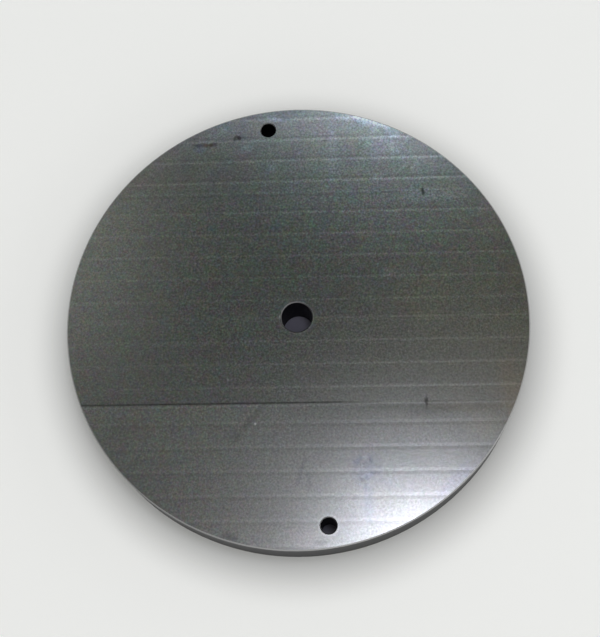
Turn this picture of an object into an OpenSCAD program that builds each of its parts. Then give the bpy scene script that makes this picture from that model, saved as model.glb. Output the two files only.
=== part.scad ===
// Silicon mirror: a thick round plate of silicon with a centre bore and two bolt holes.
// One piece. The rear face lies on Z = 0, the ground front face looks up along +Z, and
// the axis of the centre bore is the Z axis. Millimetres.
//
// The front face is ground in three zones, each in straight, overlapping passes. Where one
// pass meets the next it leaves a shallow line, and where one zone meets the next it leaves
// a low ridge, the seam. Lines and seams run right across the plate, side by side.

/* [Plate] */
// Diameter of the plate
plate_d = 300; // [240:1:400]
// Thickness of the plate
plate_t = 30; // [12:0.5:60]
// Protective chamfer on both edges of the rim
rim_chamfer = 0.8; // [0.2:0.1:3]

/* [Centre bore] */
// Diameter of the centre bore
bore_d = 20; // [6:0.5:60]
// Chamfer on both mouths of the centre bore
bore_chamfer = 0.6; // [0.2:0.1:2]

/* [Bolt holes] */
// Diameter of the two bolt holes
bolt_hole_d = 10; // [3:0.5:14]
// Distance from the rim to the middle of each bolt hole
bolt_edge = 14; // [9:0.5:90]
// Chamfer on both mouths of each bolt hole
bolt_hole_chamfer = 0.6; // [0.2:0.1:1]

/* [Grinding lines] */
// Step of the grinding wheel between two passes, from one line to the next
line_pitch = 15.4; // [10:0.1:25]
// Width of a line
line_w = 4.2; // [0.5:0.1:5]
// Depth of a line below the ground face
line_depth = 0.012; // [0.002:0.001:0.1]
// Angle from the X axis down to the lines, seen from the front
line_slant = 8.1; // [-45:0.1:45]
// Place of the line that passes over the centre bore, from the plate's middle
middle_line_y = -1.4; // [-4:0.1:2]
// Step from the middle line to the next one on the far side
middle_step = 13.9; // [10:0.1:16]

/* [Seams between the ground zones] */
// Place of the far seam, from the plate's middle
far_seam_y = 87.2; // [80:0.1:95]
// Step from the far seam to the far zone's first line
far_step = 10.1; // [6:0.1:16]
// Place of the near seam, from the plate's middle
near_seam_y = -57.8; // [-62:0.1:-54]
// Step from the near seam to the near zone's first line
near_step = 12.8; // [6:0.1:16]
// Width of a seam at its foot
seam_w = 2.4; // [0.5:0.1:4]
// Height of a seam above the ground face, which is what the wheel took off the blank
seam_h = 0.01; // [0.002:0.001:0.1]

/* [Hidden] */

// Facets of the round forms, and how far a cutter runs past the face that it cuts
$fn = 180;
overcut = 1;

plate_r = plate_d / 2;
bore_r = bore_d / 2;
bolt_hole_r = bolt_hole_d / 2;
bolt_circle_r = plate_r - bolt_edge;
past_rim = plate_r + overcut;

// Places of the lines of one zone, from its first line up to a limit, outwards from the middle
function zone_lines(first, limit) =
    let (way = sign(limit - first))
    [for (y = first; way * y < way * limit; y = y + way * line_pitch) y];

line_places = concat(
    zone_lines(far_seam_y + far_step, plate_r),
    zone_lines(middle_line_y + middle_step, far_seam_y),
    zone_lines(middle_line_y, near_seam_y),
    zone_lines(near_seam_y - near_step, -plate_r)
);

// Half section of the turned blank, with the chamfers of its rim and its bore
module blank_section() {
    polygon([
        [bore_r + bore_chamfer, 0],
        [plate_r - rim_chamfer, 0],
        [plate_r, rim_chamfer],
        [plate_r, plate_t - rim_chamfer],
        [plate_r - rim_chamfer, plate_t],
        [bore_r + bore_chamfer, plate_t],
        [bore_r, plate_t - bore_chamfer],
        [bore_r, bore_chamfer]
    ]);
}

module blank() {
    rotate_extrude() blank_section();
}

// Cutter for a through hole with a chamfer at each mouth
module chamfered_hole(r, chamfer) {
    mouth_h = chamfer + overcut;
    cylinder(r = r, h = plate_t);
    translate([0, 0, -overcut])
        cylinder(r1 = r + mouth_h, r2 = r, h = mouth_h);
    translate([0, 0, plate_t - chamfer])
        cylinder(r1 = r, r2 = r + mouth_h, h = mouth_h);
}

module bolt_holes() {
    for (side = [-1, 1])
        translate([0, side * bolt_circle_r, 0])
            chamfered_hole(bolt_hole_r, bolt_hole_chamfer);
}

// Lays a profile, drawn as distance and height, along a line right across the plate
module across_plate() {
    translate([-past_rim, 0, 0])
        rotate([90, 0, 90])
            linear_extrude(2 * past_rim) children();
}

// Cutter for one ground zone: it takes seam_h off the face and slopes up to a seam at each end
module ground_zone(from_y, to_y) {
    foot = seam_w / 2;
    ground_z = plate_t - seam_h;
    across_plate()
        polygon([
            [from_y, plate_t],
            [from_y + foot, ground_z],
            [to_y - foot, ground_z],
            [to_y, plate_t],
            [to_y, plate_t + overcut],
            [from_y, plate_t + overcut]
        ]);
}

// Cutter for one grinding line: a shallow V below the ground face
module grinding_line(y) {
    half_w = line_w / 2;
    ground_z = plate_t - seam_h;
    across_plate()
        polygon([
            [y - half_w, ground_z],
            [y, ground_z - line_depth],
            [y + half_w, ground_z],
            [y + half_w, plate_t],
            [y - half_w, plate_t]
        ]);
}

// Everything that the wheel takes off the front face
module grinding() {
    rotate([0, 0, -line_slant]) {
        ground_zone(far_seam_y, past_rim);
        ground_zone(near_seam_y, far_seam_y);
        ground_zone(-past_rim, near_seam_y);
        for (y = line_places)
            grinding_line(y);
    }
}

module mirror_plate() {
    color([0.36, 0.37, 0.37])
        difference() {
            blank();
            bolt_holes();
            grinding();
        }
}

mirror_plate();
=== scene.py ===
"""Looks of the silicon mirror: a thick ground silicon plate lying face up on a pale floor.

The plate is the CAD node as it stands. This script gives it a procedural material, and adds
the camera, the floor, a glowing ceiling, plain walls and one soft box.
"""

import math

import bpy
from mathutils import Matrix, Vector


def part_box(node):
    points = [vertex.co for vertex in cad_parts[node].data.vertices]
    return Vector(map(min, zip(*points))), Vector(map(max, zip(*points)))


# ---------------------------------------------------------------- camera, metres and degrees
CAMERA_TILT = 18.23          # off the plate's normal, towards its near side
CAMERA_SIDE = -0.47          # round the plate from straight in front
CAMERA_ROLL = -8.26          # about the line of sight
CAMERA_DISTANCE = 0.7778     # from the middle of the front face
CAMERA_LENS_MM = 67.91       # on a sensor as wide as the picture's longer side
CAMERA_SENSOR_MM = 36.0
AIM_RIGHT = 0.0021           # the picture's middle lies right of the plate's
AIM_DOWN = 0.0010            # and below it

# ---------------------------------------------------------------- light and room, metres
# The soft box: place, side of the square, intensity straight ahead in W/sr, colour
KEY_PLACE = (0.1414, -0.0761, 1.20)
KEY_SIDE = 0.239
KEY_STRENGTH = 0.365
KEY_COLOUR = (0.97, 1.00, 1.115)
# A dim ceiling hangs over the plate. It glows softly in a few places: middle, spread, colour
CEILING_HEIGHT = 1.23
CEILING_HALF = 1.7
CEILING_COLOUR = (0.004, 0.020, 0.012)
CEILING_GLOWS = [
    ((0.27, 0.94), 0.17, (1.48, 1.71, 1.79)),
    ((-0.67, 0.75), 0.26, (0.885, 0.88, 0.815)),
    ((0.40, 0.30), 0.20, (0.145, 0.125, 0.083)),
    ((-0.04, -0.42), 0.34, (0.69, 0.65, 0.63)),
]
WALL_COLOUR = (0.95, 0.95, 0.94)
# The walls are brighter on the side that this points to, and dimmer across from it
WALL_BRIGHT_SIDE = (0.8, -0.6, 0.0)
WALL_LEVELS = (0.40, 1.45)
FLOOR_HALF = 4.0
FLOOR_COLOUR = (0.60, 0.60, 0.59)
FLOOR_ROUGHNESS = 0.9
FLOOR_SPECULAR = 0.2
# Round the plate the floor is seen paler, except close to it, which leaves a painted shadow
# there:
# how much, and the radii where that starts and is full
FLOOR_GLOW = 0.90
PAINTED_FLOOR_SHADOW_RADII = (0.132, 0.185)
# A painted shadow under the plate, darker and bluish, seen through the holes alone: the radii of
# the change
UNDER_PLATE_SHADOW = (0.36, 0.35, 0.43)
UNDER_PLATE_SHADOW_RADII = (0.146, 0.142)

# ---------------------------------------------------------------- the plate, millimetres
# Places on the front face are in the grinding lines' own axes: X along the lines, Y away from
# the near side, from the plate's middle.
MM = 1000.0                  # millimetres in a metre
LINE_SLANT = 8.1             # degrees from the X axis down to the grinding lines
LINE_PITCH = 15.4
FAR_SEAM_Y = 87.2
NEAR_SEAM_Y = -57.8
RIM_R = 150.0
PAST_RIM = 400.0

# The faces and the walls are told by the Z of their normals, and the rim from the holes by
# where it starts
FACE_MIN_Z = 0.95
WALL_MAX_Z = 0.3
RIM_START_R = 148.0

NO_TINT = (1.0, 1.0, 1.0)
SILICON = (0.36, 0.36, 0.36)  # what ground silicon reflects
FACE_ROUGHNESS = 0.217
REAR_COLOUR = (0.33, 0.33, 0.34)
REAR_ROUGHNESS = 0.45
# Rim and hole walls are rougher, and painted far darker than ground silicon, as shade in the
# bores and on the rim. Their chamfers are lighter; the hole chamfers too are painted darker, as
# shade.
RIM_WALL_SHADE = (0.038, 0.038, 0.040)
RIM_EDGE_COLOUR = (0.30, 0.30, 0.30)
HOLE_WALL_SHADE = (0.012, 0.012, 0.014)
HOLE_EDGE_SHADE = (0.135, 0.135, 0.14)
WALL_ROUGHNESS = 0.5
EDGE_ROUGHNESS = 0.35
RIM_LINES = (8.0, 8.0, 1400.0)  # swells a metre of the fine lines round the rim
RIM_LINE_SWING = 0.5

# Noise is given by its swells a millimetre and its swing about 1
FINE_GRAIN = (0.80, 1.64)
SPECKS = (0.65, 0.51)        # of colour
CLOUDS = (0.13, 0.36)        # of colour
HAZE_CLOUDS = (0.08, 0.22)   # of colour, on the far zone
LAPPED = (0.5, 0.25)         # the rear face
# Streaks run along the lines: their swells a millimetre along X and Y
FINE_STREAKS = (0.02, 1.3, 0.0)
WIDE_STREAKS = (0.01, 0.35, 0.0)
STREAK_SWING = 0.07
# Round a calm place the grain and the streaks are weaker. For each: where it is weakest and
# where it is full again, in parts of the radius, and how much is left at least
CALM_MIDDLE = (85.0, -125.0)
CALM_R = 140.0
CALM_LIGHTNESS = (0.4, 1.1, 0.58)
CALM_COLOUR = (0.6, 1.3, 0.27)
CALM_STREAKS = (0.4, 1.1, 0.25)
# Round a rough place the grain is full. It falls off to a rest over this reach, in parts of the
# radius
ROUGH_MIDDLE = (20.0, 30.0)
ROUGH_R = 110.0
ROUGH_REACH = (0.5, 1.4)
ROUGH_REST = 0.70
# The grain's colour is weaker on the far zone. From here on a reach is where a change starts
# and ends, along Y or X
FAR_COLOUR_REACH = (60.0, 110.0)
FAR_COLOUR_REST = 0.65

# The haze of the far zone: where it comes in, where it gets paler, and the tint at the rim
HAZE_REACH = (78.0, 96.0)
PALE_REACH = (105.0, 148.0)
PALE_TINT = (1.36, 1.31, 1.38)
# The near zone is a little lighter on the left and towards the seam
LIGHT_X_REACH = (35.0, -35.0)
LIGHT_Y_REACH = (-135.0, -65.0)
LIGHT_TINT = 1.20

# Painted highlight and shade beside the grinding lines of one zone, for the light their flanks
# catch: a line's place, the zone's ends, how much the sides lean off the line, where along X it
# changes, how strong it is before and after that, and for the sides of a line their offset, half
# width and tint
SIDES_SWAP_Y = 5.0           # within the middle zone the light side changes over here
LINE_SIDES = [
    {"first": 97.3, "zone": (FAR_SEAM_Y, RIM_R), "lean": 0.0065, "change": (-100.0, 50.0),
     "strength": (0.80, 0.68), "sides": [(-1.3, 1.3, 1.26), (1.0, 1.1, 0.88)]},
    {"first": 97.3, "zone": (FAR_SEAM_Y, RIM_R), "lean": 0.0065, "change": (35.0, 72.0),
     "strength": (0.0, 1.0), "sides": [(-1.1, 1.6, 1.16)]},
    {"first": 12.5, "zone": (SIDES_SWAP_Y, FAR_SEAM_Y), "lean": 0.0, "change": (-100.0, 50.0),
     "strength": (0.6, 1.0), "sides": [(-0.5, 1.3, 1.19), (1.6, 1.0, 0.98)]},
    {"first": -1.4, "zone": (NEAR_SEAM_Y, SIDES_SWAP_Y), "lean": 0.0, "change": (-100.0, 50.0),
     "strength": (0.5, 1.0), "sides": [(0.7, 1.3, 1.22), (-1.3, 1.2, 1.11)]},
    {"first": -70.6, "zone": (-RIM_R, NEAR_SEAM_Y), "lean": 0.0, "change": (-100.0, 50.0),
     "strength": (0.9, 0.15), "sides": [(1.1, 1.2, 1.11), (-1.0, 1.2, 0.925)]},
]
# Painted highlight and shade along the seams, for the light and shade of their small steps:
# offset from the seam, half width, X where it starts and ends, tint. One that starts on the
# right of where it ends runs to the left rim.
NEAR_SEAM_SIDES = [
    (0.80, 1.05, 30.0, -PAST_RIM, 0.50),
    (-1.2, 0.8, 30.0, -PAST_RIM, 1.14),
    (0.3, 1.3, 50.0, 80.0, 1.28),
    (-3.0, 2.6, 5.0, 125.0, 0.97),
    (0.2, 1.7, 90.0, PAST_RIM, 1.07),
]
FAR_SEAM_SIDES = [
    (0.8, 1.2, -10.0, -PAST_RIM, 1.08),
    (-1.5, 1.3, 60.0, -PAST_RIM, 0.91),
]
SEAM_FADE = 10.0             # on both sides of a start or an end
# A mark fades over this reach, in its half sizes, and a noise can make its edge ragged
MARK_REACH = (1.35, 0.35)
RAGGED_PER_MM = 0.3
RAGGED_SWING = 3.0
# Soft marks of the face: middle, half sizes, turn in degrees, raggedness, tint
MARKS = [
    # two short scratches, each with a halo that paints the shading of the dent round it: light
    # round the far one, dark round the near one
    ((92.0, 84.5), (27.0, 5.0), 0.0, 0.3, (1.19, 1.20, 1.22)),
    ((84.4, 86.6), (1.1, 3.4), 8.0, 0.2, (0.30, 0.30, 0.30)),
    ((82.0, -62.0), (18.0, 5.0), 0.0, 0.3, (0.84, 0.84, 0.84)),
    ((81.6, -57.2), (1.3, 3.1), 0.0, 0.2, (0.40, 0.40, 0.40)),
    ((81.5, -61.6), (1.0, 1.7), 0.0, 0.2, (0.76, 0.76, 0.76)),
    # nicks, each a painted glint, the last one at the mouth of the bore
    ((-26.4, -70.4), (1.0, 1.0), 0.0, 0.0, (2.0, 2.0, 2.0)),
    ((-44.0, -41.5), (0.9, 0.9), 0.0, 0.0, (1.5, 1.5, 1.5)),
    ((-10.9, 0.0), (0.9, 1.3), 0.0, 0.0, (2.0, 2.0, 2.0)),
    # faint spots of the middle zone
    ((-56.0, 63.0), (3.2, 3.2), 0.0, 0.3, (0.82, 1.08, 1.10)),
    ((-14.5, 64.0), (6.0, 4.0), 0.0, 0.4, (0.97, 1.03, 1.12)),
    ((61.0, 30.5), (7.0, 3.4), 0.0, 0.4, (1.17, 1.12, 1.18)),
    ((80.0, 12.0), (18.0, 22.0), 0.0, 0.4, (1.07, 1.05, 1.00)),
    ((45.0, 56.0), (9.0, 6.0), 0.0, 0.5, (1.09, 1.02, 0.94)),
    ((128.0, 66.0), (10.0, 13.0), 0.0, 0.5, (1.16, 1.06, 1.08)),
    ((-105.0, 20.0), (16.0, 90.0), 0.0, 0.2, (1.02, 1.02, 1.02)),
    # stains of the far zone
    ((-41.9, 128.0), (1.2, 2.0), -15.0, 0.1, (0.54, 0.54, 0.58)),
    ((-40.4, 130.1), (1.9, 1.0), 0.0, 0.1, (0.52, 0.50, 0.52)),
    ((-38.8, 128.9), (1.7, 1.7), 0.0, 0.1, (0.36, 0.32, 0.34)),
    ((-35.8, 130.0), (1.4, 2.4), 0.0, 0.3, (0.80, 0.87, 0.86)),
    ((-34.0, 121.0), (5.0, 4.0), 0.0, 0.6, (1.10, 1.16, 1.22)),
    ((-65.5, 120.5), (5.0, 2.6), 0.0, 0.4, (1.00, 1.06, 1.24)),
    ((-66.5, 124.0), (3.2, 1.5), 5.0, 0.1, (0.54, 0.57, 0.70)),
    ((-69.4, 122.0), (0.8, 1.9), 0.0, 0.1, (0.82, 0.84, 0.88)),
    ((-61.6, 124.2), (2.4, 1.3), 0.0, 0.2, (0.68, 0.54, 0.50)),
    ((-58.3, 124.0), (1.7, 1.6), 0.0, 0.1, (0.50, 0.42, 0.38)),
    ((-55.6, 124.6), (2.0, 1.7), 0.0, 0.2, (0.66, 0.62, 0.68)),
    ((-56.4, 120.9), (1.5, 1.5), 0.0, 0.2, (1.22, 1.14, 1.04)),
    ((-59.6, 129.2), (0.9, 1.3), 0.0, 0.1, (0.72, 0.84, 0.82)),
    ((-49.4, 135.0), (2.6, 1.6), 0.0, 0.3, (1.20, 1.19, 1.20)),
    ((-54.0, 133.0), (16.0, 6.0), 12.0, 0.6, (1.14, 1.15, 1.18)),
    ((-15.0, 143.0), (6.0, 2.0), -20.0, 0.6, (1.24, 1.28, 1.42)),
    ((-8.0, 143.0), (5.0, 2.6), -10.0, 0.6, (0.84, 0.84, 0.92)),
    ((-88.0, 115.0), (18.0, 7.0), 40.0, 0.5, (1.12, 1.08, 1.12)),
    ((36.0, 143.0), (12.0, 3.6), -14.0, 0.5, (1.30, 1.34, 1.46)),
    ((49.0, 138.5), (10.0, 4.0), -24.0, 0.5, (1.30, 1.31, 1.44)),
    ((50.0, 139.6), (15.0, 1.7), -19.7, 0.3, (1.42, 1.42, 1.44)),
    ((61.0, 135.0), (7.0, 1.8), -24.3, 0.3, (1.24, 1.24, 1.26)),
    ((53.8, 134.5), (1.6, 4.6), 12.0, 0.3, (1.20, 1.21, 1.22)),
    ((41.0, 140.0), (3.0, 1.8), -15.0, 0.3, (0.80, 0.81, 0.82)),
    ((-6.0, 147.4), (14.0, 1.6), 3.0, 0.2, (0.82, 0.83, 0.84)),
    ((66.0, 131.0), (10.0, 3.6), -32.0, 0.6, (1.22, 1.24, 1.30)),
    ((82.0, 112.0), (22.0, 12.0), -25.0, 0.5, (1.14, 1.13, 1.18)),
    ((58.0, 122.0), (15.0, 11.0), 0.0, 0.6, (1.16, 1.18, 1.24)),
    ((65.0, 121.0), (1.3, 8.0), 4.0, 0.3, (1.17, 1.18, 1.20)),
    ((57.0, 124.5), (1.1, 6.0), -30.0, 0.3, (1.12, 1.12, 1.13)),
    ((24.0, 116.0), (4.0, 26.0), 0.0, 0.5, (1.10, 1.10, 1.16)),
    ((55.0, 98.5), (5.0, 2.4), 0.0, 0.5, (1.34, 1.36, 1.40)),
    ((43.0, 121.0), (5.0, 4.0), 0.0, 0.5, (0.86, 0.93, 0.88)),
    ((-17.0, 106.0), (6.0, 3.0), 20.0, 0.6, (1.12, 1.16, 1.24)),
    # wisps that cross the lines
    ((71.0, 104.0), (0.9, 6.0), -42.0, 0.4, (1.20, 1.20, 1.20)),
    ((75.0, 104.0), (0.9, 7.0), -42.0, 0.4, (0.84, 0.84, 0.84)),
    ((80.0, 107.0), (0.9, 6.0), -42.0, 0.4, (1.20, 1.20, 1.20)),
    ((-29.0, -67.5), (2.2, 16.0), -41.0, 0.5, (0.86, 0.86, 0.86)),
    ((-40.0, -78.0), (6.0, 5.0), 0.0, 0.5, (0.91, 0.90, 0.92)),
    # bands and smudges of the near zone, and a painted shade on its highlight
    ((-70.0, -63.0), (60.0, 5.0), 0.0, 0.2, (1.06, 1.06, 1.06)),
    ((-105.0, -70.0), (13.0, 14.0), 0.0, 0.4, (0.96, 0.92, 0.93)),
    ((56.0, -60.6), (18.0, 3.0), 0.0, 0.2, (0.88, 0.90, 0.89)),
    ((108.0, -61.5), (26.0, 3.4), 0.0, 0.2, (0.93, 0.91, 0.87)),
    ((42.5, -99.0), (9.0, 11.0), 0.0, 0.7, (0.92, 0.93, 0.99)),
    ((36.6, -95.4), (2.6, 2.0), 20.0, 0.2, (0.88, 0.90, 1.00)),
    ((39.6, -93.2), (1.3, 1.6), 0.0, 0.2, (0.83, 0.86, 0.90)),
    ((42.2, -92.5), (2.0, 1.3), 20.0, 0.2, (1.14, 1.15, 1.18)),
    ((46.2, -94.6), (1.5, 2.6), 0.0, 0.2, (0.82, 0.84, 0.88)),
    ((41.2, -96.4), (1.3, 1.3), 0.0, 0.1, (0.84, 0.84, 0.86)),
    ((44.7, -103.5), (2.2, 1.7), -15.0, 0.1, (1.12, 1.11, 1.20)),
    ((41.2, -104.4), (1.6, 1.8), 0.0, 0.1, (1.08, 1.10, 1.13)),
    ((40.3, -106.7), (1.6, 1.4), 0.0, 0.1, (0.70, 0.71, 0.75)),
    ((43.2, -105.6), (1.4, 1.4), 0.0, 0.1, (0.84, 0.86, 0.90)),
    ((47.2, -102.3), (2.8, 1.3), 15.0, 0.1, (0.85, 0.86, 0.90)),
    ((44.0, -118.0), (3.4, 16.0), 0.0, 0.5, (0.94, 0.96, 1.01)),
    # painted shade that dims the highlight here
    ((62.0, -96.0), (24.0, 18.0), 0.0, 0.3, (0.91, 0.92, 0.92)),
    ((2.0, -102.0), (1.7, 9.0), -15.0, 0.3, (0.84, 0.84, 0.86)),
    ((7.0, -106.0), (1.7, 7.0), 10.0, 0.3, (0.87, 0.87, 0.89)),
    ((99.0, -106.0), (16.0, 5.0), 45.0, 0.5, (0.98, 0.98, 1.05)),
    # smudges of the rim
    ((3.0, -142.5), (17.0, 6.0), 0.0, 0.3, (1.08, 1.07, 1.07)),
    ((56.0, -120.0), (12.0, 8.0), 0.0, 0.3, (0.94, 0.94, 0.92)),
    ((117.0, -73.0), (13.0, 9.0), -20.0, 0.4, (1.10, 1.08, 1.05)),
    ((117.0, -91.0), (6.0, 6.0), 0.0, 0.3, (0.93, 0.93, 0.93)),
    ((-42.0, -141.0), (7.0, 2.8), -14.0, 0.5, (0.78, 0.78, 0.80)),
    ((15.0, -145.0), (5.0, 1.8), 0.0, 0.5, (0.80, 0.80, 0.80)),
    ((138.0, -56.0), (11.0, 28.0), 10.0, 0.4, (1.12, 1.03, 0.96)),
    ((-140.0, 55.0), (6.0, 25.0), 0.0, 0.3, (0.95, 0.98, 0.95)),
]
# A painted highlight line round each hole's edge: middle, radius, half width, tint
HOLE_HIGHLIGHT_RINGS = [
    ((-0.2, -0.3), 11.1, 0.8, 1.30),
    ((19.2, -134.6), 6.3, 0.9, 1.17),
    ((-19.2, 134.6), 6.3, 0.9, 1.06),
]


class Graph:
    """Short calls that add shader nodes. An input is a plain value or another node's output."""

    def __init__(self, tree):
        self.nodes = tree.nodes
        self.links = tree.links

    def feed(self, socket, value):
        """Links value to the socket or sets it there."""
        if isinstance(value, bpy.types.NodeSocket):
            self.links.new(value, socket)
        elif isinstance(value, tuple) and len(value) == 3 and socket.type == "RGBA":
            socket.default_value = (*value, 1.0)
        else:
            socket.default_value = value

    def node(self, kind, **inputs):
        """A node whose inputs are given by name, with _ for a space."""
        node = self.nodes.new(kind)
        for name, value in inputs.items():
            self.feed(node.inputs[name.replace("_", " ")], value)
        return node

    def math(self, operation, *values):
        node = self.nodes.new("ShaderNodeMath")
        node.operation = operation
        for socket, value in zip(node.inputs, values):
            self.feed(socket, value)
        return node.outputs[0]

    def vector(self, operation, *values):
        node = self.nodes.new("ShaderNodeVectorMath")
        node.operation = operation
        for socket, value in zip(node.inputs, values):
            self.feed(socket, value)
        gives_number = operation in ("LENGTH", "DOT_PRODUCT")
        return node.outputs["Value"] if gives_number else node.outputs["Vector"]

    def split(self, vector):
        """The outputs X, Y and Z."""
        return self.node("ShaderNodeSeparateXYZ", Vector=vector).outputs

    def ramp(self, value, start, end):
        """0 at start and 1 at end, with a smooth way between. Start may be the larger one."""
        node = self.nodes.new("ShaderNodeMapRange")
        node.interpolation_type = "SMOOTHSTEP"
        self.feed(node.inputs["Value"], value)
        self.feed(node.inputs["From Min"], min(start, end))
        self.feed(node.inputs["From Max"], max(start, end))
        self.feed(node.inputs["To Min"], 0.0 if start < end else 1.0)
        self.feed(node.inputs["To Max"], 1.0 if start < end else 0.0)
        return node.outputs["Result"]

    def away(self, vector, middle, half, turn=0.0):
        """How far off middle, in the half sizes of a box that is turned by so many degrees."""
        vector = self.vector("SUBTRACT", vector, (*middle, 0.0))
        if turn:
            node = self.nodes.new("ShaderNodeVectorRotate")
            node.rotation_type = "Z_AXIS"
            self.feed(node.inputs["Vector"], vector)
            node.inputs["Angle"].default_value = -math.radians(turn)
            vector = node.outputs[0]
        return self.vector("LENGTH", self.vector("DIVIDE", vector, (*half, 1.0)))

    def scale(self, vector, factor):
        """A vector or a colour times a number."""
        node = self.nodes.new("ShaderNodeVectorMath")
        node.operation = "SCALE"
        self.feed(node.inputs[0], vector)
        self.feed(node.inputs["Scale"], factor)
        return node.outputs[0]

    def band(self, value, middle, half):
        """1 at middle, and 0 from half away on."""
        away = self.math("ABSOLUTE", self.math("SUBTRACT", value, middle))
        return self.ramp(away, half, 0.0)

    def noise(self, vector, per_unit, detail, seed):
        """A noise node of so many swells per unit of vector. Each seed has its own pattern."""
        node = self.nodes.new("ShaderNodeTexNoise")
        node.noise_dimensions = "4D"
        self.feed(node.inputs["Vector"], vector)
        node.inputs["W"].default_value = seed
        node.inputs["Scale"].default_value = per_unit
        node.inputs["Detail"].default_value = detail
        return node

    def grey_noise(self, vector, kind, detail, seed):
        """A grey noise as a factor about 1. kind is its swells per unit and its swing."""
        per_unit, swing = kind
        fac = self.noise(vector, per_unit, detail, seed).outputs["Fac"]
        return self.math("MULTIPLY_ADD", fac, swing, 1.0 - 0.5 * swing)

    def colour_noise(self, vector, kind, detail, seed):
        """A coloured noise as a factor about 1, with kind as above."""
        per_unit, swing = kind
        colour = self.noise(vector, per_unit, detail, seed).outputs["Color"]
        rest = 1.0 - 0.5 * swing
        return self.vector("MULTIPLY_ADD", colour, (swing,) * 3, (rest,) * 3)

    def mix(self, factor, a, b, blend="MIX"):
        """The colour a where factor is 0, and b, or a blended with b, where it is 1."""
        node = self.nodes.new("ShaderNodeMix")
        node.data_type = "RGBA"
        node.blend_type = blend
        self.feed(node.inputs["Factor"], factor)
        self.feed(node.inputs["A"], a)
        self.feed(node.inputs["B"], b)
        return node.outputs["Result"]

    def choose(self, factor, a, b):
        """The number a where factor is 0 and b where it is 1."""
        node = self.nodes.new("ShaderNodeMix")
        self.feed(node.inputs["Factor"], factor)
        self.feed(node.inputs["A"], a)
        self.feed(node.inputs["B"], b)
        return node.outputs["Result"]


def link_new(data, name):
    """A scene object for some camera, lamp or mesh data."""
    made = bpy.data.objects.new(name, data)
    bpy.context.scene.collection.objects.link(made)
    return made


def add_camera(target):
    """The camera looks at a point close to target, rolled a little."""
    tilt = math.radians(CAMERA_TILT)
    side = math.radians(CAMERA_SIDE)
    out = math.sin(tilt)
    away = Vector((math.sin(side) * out, -math.cos(side) * out, math.cos(tilt)))
    roll = Matrix.Rotation(math.radians(CAMERA_ROLL), 3, "Z")
    turn = away.to_track_quat("Z", "Y").to_matrix() @ roll
    right, up, _ = turn.col
    data = bpy.data.cameras.new("camera")
    data.lens = CAMERA_LENS_MM
    data.sensor_width = CAMERA_SENSOR_MM
    camera = link_new(data, "camera")
    place = target + AIM_RIGHT * right - AIM_DOWN * up + CAMERA_DISTANCE * away
    camera.matrix_world = Matrix.Translation(place) @ turn.to_4x4()
    bpy.context.scene.camera = camera


def add_key(target):
    """The one lamp, a square soft box that faces target."""
    data = bpy.data.lights.new("key", "AREA")
    data.shape = "SQUARE"
    data.size = KEY_SIDE
    data.energy = math.pi * KEY_STRENGTH
    data.color = KEY_COLOUR
    lamp = link_new(data, "key")
    lamp.location = KEY_PLACE
    lamp.rotation_euler = (Vector(KEY_PLACE) - target).to_track_quat("Z", "Y").to_euler()


def add_walls():
    """A plain pale room. It is smooth, so it is met by the surfaces' own rays and not sampled.

    Where it is seen itself, it is evenly pale.
    """
    world = bpy.data.worlds.new("room")
    world.use_nodes = True
    world.cycles.sampling_method = "NONE"
    graph = Graph(world.node_tree)
    background = graph.nodes["Background"]
    background.inputs["Color"].default_value = (*WALL_COLOUR, 1.0)
    way = graph.nodes.new("ShaderNodeTexCoord").outputs["Generated"]
    side = graph.vector("DOT_PRODUCT", way, WALL_BRIGHT_SIDE)
    level = graph.choose(graph.ramp(side, -1.0, 1.0), *WALL_LEVELS)
    seen = graph.nodes.new("ShaderNodeLightPath").outputs["Is Camera Ray"]
    graph.feed(background.inputs["Strength"], graph.choose(seen, level, 1.0))
    bpy.context.scene.world = world


def add_square(name, half, height, material):
    """A level square of the stage."""
    mesh = bpy.data.meshes.new(name)
    corners = [(-half, -half, 0.0), (half, -half, 0.0), (half, half, 0.0), (-half, half, 0.0)]
    mesh.from_pydata(corners, [], [(0, 1, 2, 3)])
    mesh.materials.append(material)
    square = link_new(mesh, name)
    square.location.z = height
    return square


def ceiling_light():
    """The ceiling's soft light: a dim level, and on it a few wide glows."""
    material = bpy.data.materials.new("ceiling_light")
    material.use_nodes = True
    material.cycles.emission_sampling = "NONE"
    graph = Graph(material.node_tree)
    graph.nodes.clear()
    place = graph.nodes.new("ShaderNodeTexCoord").outputs["Object"]
    light = CEILING_COLOUR
    for middle, spread, colour in CEILING_GLOWS:
        away = graph.away(place, middle, (spread, spread))
        glow = graph.math("MULTIPLY", graph.math("MULTIPLY", away, away), -0.5)
        glow = graph.math("EXPONENT", glow)
        light = graph.vector("ADD", light, graph.scale(colour, glow))
    shader = graph.node("ShaderNodeEmission", Color=light)
    out = graph.nodes.new("ShaderNodeOutputMaterial")
    graph.links.new(shader.outputs[0], out.inputs["Surface"])
    return material


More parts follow.
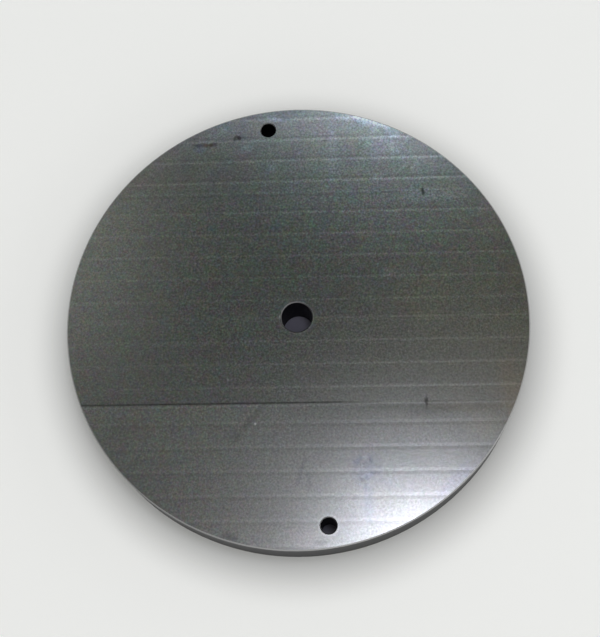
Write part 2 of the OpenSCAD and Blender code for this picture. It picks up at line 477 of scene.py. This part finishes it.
def floor_paint():
    """A pale matt floor. Away from the plate it is seen paler, but that lights nothing. Near and
    under the plate it is painted darker, as shadow.
    """
    material = bpy.data.materials.new("floor_paint")
    material.use_nodes = True
    material.cycles.emission_sampling = "NONE"
    graph = Graph(material.node_tree)
    shader = graph.nodes["Principled BSDF"]
    shader.inputs["Roughness"].default_value = FLOOR_ROUGHNESS
    shader.inputs["Specular IOR Level"].default_value = FLOOR_SPECULAR
    shader.inputs["Emission Color"].default_value = (*FLOOR_COLOUR, 1.0)
    ray = graph.nodes.new("ShaderNodeLightPath").outputs
    seen = graph.math("MAXIMUM", ray["Is Glossy Ray"], ray["Is Transmission Ray"])
    seen = graph.math("MAXIMUM", ray["Is Camera Ray"], seen)
    out = graph.vector("LENGTH", graph.nodes.new("ShaderNodeTexCoord").outputs["Object"])
    # Under the plate the floor is painted darker, a shadow seen through the holes
    paint = graph.mix(graph.ramp(out, *UNDER_PLATE_SHADOW_RADII), FLOOR_COLOUR, UNDER_PLATE_SHADOW)
    graph.feed(shader.inputs["Base Color"], paint)
    # Close round the plate the paleness is left out: a painted shadow
    away = graph.math("MULTIPLY", graph.ramp(out, *PAINTED_FLOOR_SHADOW_RADII), FLOOR_GLOW)
    graph.feed(shader.inputs["Emission Strength"], graph.math("MULTIPLY", seen, away))
    return material


def add_room():
    add_walls()
    add_square("floor", FLOOR_HALF, 0.0, floor_paint())
    ceiling = add_square("ceiling", CEILING_HALF, CEILING_HEIGHT, ceiling_light())
    ceiling.visible_camera = False


def line_axes(graph):
    """The place on the face in the lines' own axes, in millimetres, with no height."""
    node = graph.nodes.new("ShaderNodeMapping")
    graph.feed(node.inputs["Vector"], graph.nodes.new("ShaderNodeTexCoord").outputs["Object"])
    node.inputs["Rotation"].default_value = (0.0, 0.0, math.radians(LINE_SLANT))
    node.inputs["Scale"].default_value = (MM, MM, 0.0)
    return node.outputs[0]


def calm(graph, place, start, end, least):
    """least within start of the calm place and 1 beyond end, in parts of its radius."""
    away = graph.away(place, CALM_MIDDLE, (CALM_R, CALM_R))
    return graph.choose(graph.ramp(away, start, end), least, 1.0)


def grain(graph, place, y):
    """The fine unevenness of the ground face, in lightness and a little in colour."""
    away = graph.away(place, ROUGH_MIDDLE, (ROUGH_R, ROUGH_R))
    rough = graph.choose(graph.ramp(away, *ROUGH_REACH), 1.0, ROUGH_REST)
    much = graph.math("MULTIPLY", rough, calm(graph, place, *CALM_LIGHTNESS))
    fine = graph.choose(much, 1.0, graph.grey_noise(place, FINE_GRAIN, 1.0, 1.0))
    specks = graph.colour_noise(place, SPECKS, 0.0, 2.0)
    clouds = graph.colour_noise(place, CLOUDS, 1.0, 3.0)
    colour = graph.vector("MULTIPLY", specks, clouds)
    much = graph.math("MULTIPLY", rough, calm(graph, place, *CALM_COLOUR))
    far = graph.choose(graph.ramp(y, *FAR_COLOUR_REACH), 1.0, FAR_COLOUR_REST)
    much = graph.math("MULTIPLY", much, far)
    return graph.scale(graph.mix(much, NO_TINT, colour), fine)


def streaks(graph, place):
    """The fine scratches of the grinding wheel, which run along the lines."""
    fine_place = graph.vector("MULTIPLY", place, FINE_STREAKS)
    wide_place = graph.vector("MULTIPLY", place, WIDE_STREAKS)
    fine = graph.grey_noise(fine_place, (1.0, STREAK_SWING), 1.0, 4.0)
    wide = graph.grey_noise(wide_place, (1.0, STREAK_SWING), 1.0, 5.0)
    both = graph.math("MULTIPLY", fine, wide)
    return graph.choose(calm(graph, place, *CALM_STREAKS), 1.0, both)


def painted_line_sides(graph, x, y):
    """The painted highlight and shade beside all grinding lines, as one factor."""
    factor = 1.0
    for lines in LINE_SIDES:
        line_y = graph.math("MULTIPLY_ADD", x, lines["lean"], lines["first"])
        away = graph.math("SUBTRACT", y, line_y)
        away = graph.math("WRAP", away, 0.5 * LINE_PITCH, -0.5 * LINE_PITCH)
        start, end = lines["zone"]
        inside = graph.math("GREATER_THAN", y, start)
        inside = graph.math("MULTIPLY", inside, graph.math("LESS_THAN", y, end))
        strength = graph.choose(graph.ramp(x, *lines["change"]), *lines["strength"])
        inside = graph.math("MULTIPLY", inside, strength)
        for offset, half, tint in lines["sides"]:
            side = graph.math("MULTIPLY", graph.band(away, offset, half), inside)
            factor = graph.math("MULTIPLY", graph.choose(side, 1.0, tint), factor)
    return factor


def painted_seam_sides(graph, x, y):
    """The painted highlight and shade at the edges of the two seams, as one factor."""
    factor = 1.0
    for seam_y, sides in ((NEAR_SEAM_Y, NEAR_SEAM_SIDES), (FAR_SEAM_Y, FAR_SEAM_SIDES)):
        away = graph.math("SUBTRACT", y, seam_y)
        for offset, half, start, end, tint in sides:
            side = graph.band(away, offset, half)
            fade = SEAM_FADE if start < end else -SEAM_FADE
            side = graph.math("MULTIPLY", side, graph.ramp(x, start - fade, start + fade))
            if start < end:
                side = graph.math("MULTIPLY", side, graph.ramp(x, end + fade, end - fade))
            factor = graph.math("MULTIPLY", graph.choose(side, 1.0, tint), factor)
    return factor


def zones(graph, x, y):
    """The near zone is a little lighter than the middle one, on the left and beside the seam."""
    near = graph.math("LESS_THAN", y, NEAR_SEAM_Y)
    near = graph.math("MULTIPLY", near, graph.ramp(x, *LIGHT_X_REACH))
    near = graph.math("MULTIPLY", near, graph.ramp(y, *LIGHT_Y_REACH))
    return graph.choose(near, 1.0, LIGHT_TINT)


def haze(graph, place, y):
    """Faint clouds of colour on the far zone, which is paler towards the rim."""
    clouds = graph.colour_noise(place, HAZE_CLOUDS, 1.0, 6.0)
    pale = graph.mix(graph.ramp(y, *PALE_REACH), clouds, PALE_TINT, "MULTIPLY")
    return graph.mix(graph.ramp(y, *HAZE_REACH), NO_TINT, pale)


def marks(graph, place):
    """Every soft mark of the face, the painted glints, dent shading and shade among them, and
    the painted highlight lines round the holes, as one tint.
    """
    colour = NO_TINT
    wobble = graph.noise(place, RAGGED_PER_MM, 2.0, 7.0).outputs["Fac"]
    wobble = graph.math("SUBTRACT", wobble, 0.5)
    for middle, half, turn, ragged, tint in MARKS:
        away = graph.away(place, middle, half, turn)
        if ragged:
            away = graph.math("MULTIPLY_ADD", wobble, RAGGED_SWING * ragged, away)
        colour = graph.mix(graph.ramp(away, *MARK_REACH), colour, tint, "MULTIPLY")
    for middle, radius, half, tint in HOLE_HIGHLIGHT_RINGS:
        line = graph.band(graph.away(place, middle, (1.0, 1.0)), radius, half)
        colour = graph.mix(line, colour, (tint,) * 3, "MULTIPLY")
    return colour


def front_face(graph, place):
    """The colour of the ground front face, with painted highlight and shade at its lines, seams
    and marks.
    """
    x, y, _ = graph.split(place)
    colour = graph.vector("MULTIPLY", grain(graph, place, y), haze(graph, place, y))
    colour = graph.vector("MULTIPLY", SILICON, colour)
    colour = graph.scale(colour, streaks(graph, place))
    colour = graph.scale(colour, painted_line_sides(graph, x, y))
    colour = graph.scale(colour, painted_seam_sides(graph, x, y))
    colour = graph.scale(colour, zones(graph, x, y))
    return graph.vector("MULTIPLY", colour, marks(graph, place))


def rim_wall(graph):
    """The ground rim, painted dark as shade, with fine lines round it."""
    place = graph.nodes.new("ShaderNodeTexCoord").outputs["Object"]
    place = graph.vector("MULTIPLY", place, RIM_LINES)
    return graph.scale(RIM_WALL_SHADE, graph.grey_noise(place, (1.0, RIM_LINE_SWING), 1.0, 8.0))


def rear_face(graph, place):
    """The lapped rear face, an even matt grey."""
    return graph.scale(REAR_COLOUR, graph.grey_noise(place, LAPPED, 2.0, 9.0))


def silicon():
    """The plate's one material. Its regions are told by which way they face and how far out."""
    material = bpy.data.materials.new("ground_silicon_look")
    material.use_nodes = True
    graph = Graph(material.node_tree)
    shader = graph.nodes["Principled BSDF"]
    shader.inputs["Metallic"].default_value = 1.0
    place = line_axes(graph)
    up = graph.split(graph.nodes.new("ShaderNodeNewGeometry").outputs["True Normal"])["Z"]
    front = graph.math("GREATER_THAN", up, FACE_MIN_Z)
    rear = graph.math("LESS_THAN", up, -FACE_MIN_Z)
    wall = graph.math("LESS_THAN", graph.math("ABSOLUTE", up), WALL_MAX_Z)
    rim = graph.math("GREATER_THAN", graph.vector("LENGTH", place), RIM_START_R)
    # The walls are painted dark, as shade in the bores and on the rim
    painted_wall_shade = graph.mix(rim, HOLE_WALL_SHADE, rim_wall(graph))
    colour = graph.mix(wall, graph.mix(rim, HOLE_EDGE_SHADE, RIM_EDGE_COLOUR), painted_wall_shade)
    colour = graph.mix(rear, colour, rear_face(graph, place))
    colour = graph.mix(front, colour, front_face(graph, place))
    graph.feed(shader.inputs["Base Color"], colour)
    roughness = graph.choose(wall, EDGE_ROUGHNESS, WALL_ROUGHNESS)
    roughness = graph.choose(rear, roughness, REAR_ROUGHNESS)
    roughness = graph.choose(front, roughness, FACE_ROUGHNESS)
    graph.feed(shader.inputs["Roughness"], roughness)
    return material


bpy.context.scene.view_settings.view_transform = "Standard"
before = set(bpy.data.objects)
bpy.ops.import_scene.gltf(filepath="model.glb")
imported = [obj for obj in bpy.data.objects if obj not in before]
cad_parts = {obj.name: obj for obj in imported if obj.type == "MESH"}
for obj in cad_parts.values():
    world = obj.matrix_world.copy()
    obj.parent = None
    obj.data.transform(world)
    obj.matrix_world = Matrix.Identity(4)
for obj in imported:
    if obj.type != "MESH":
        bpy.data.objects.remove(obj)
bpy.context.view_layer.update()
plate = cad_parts["mirror_plate"]
_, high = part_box("mirror_plate")
middle = Vector((0.0, 0.0, high.z))

add_camera(middle)
add_room()
add_key(middle)

plate.material_slots[0].material = silicon()
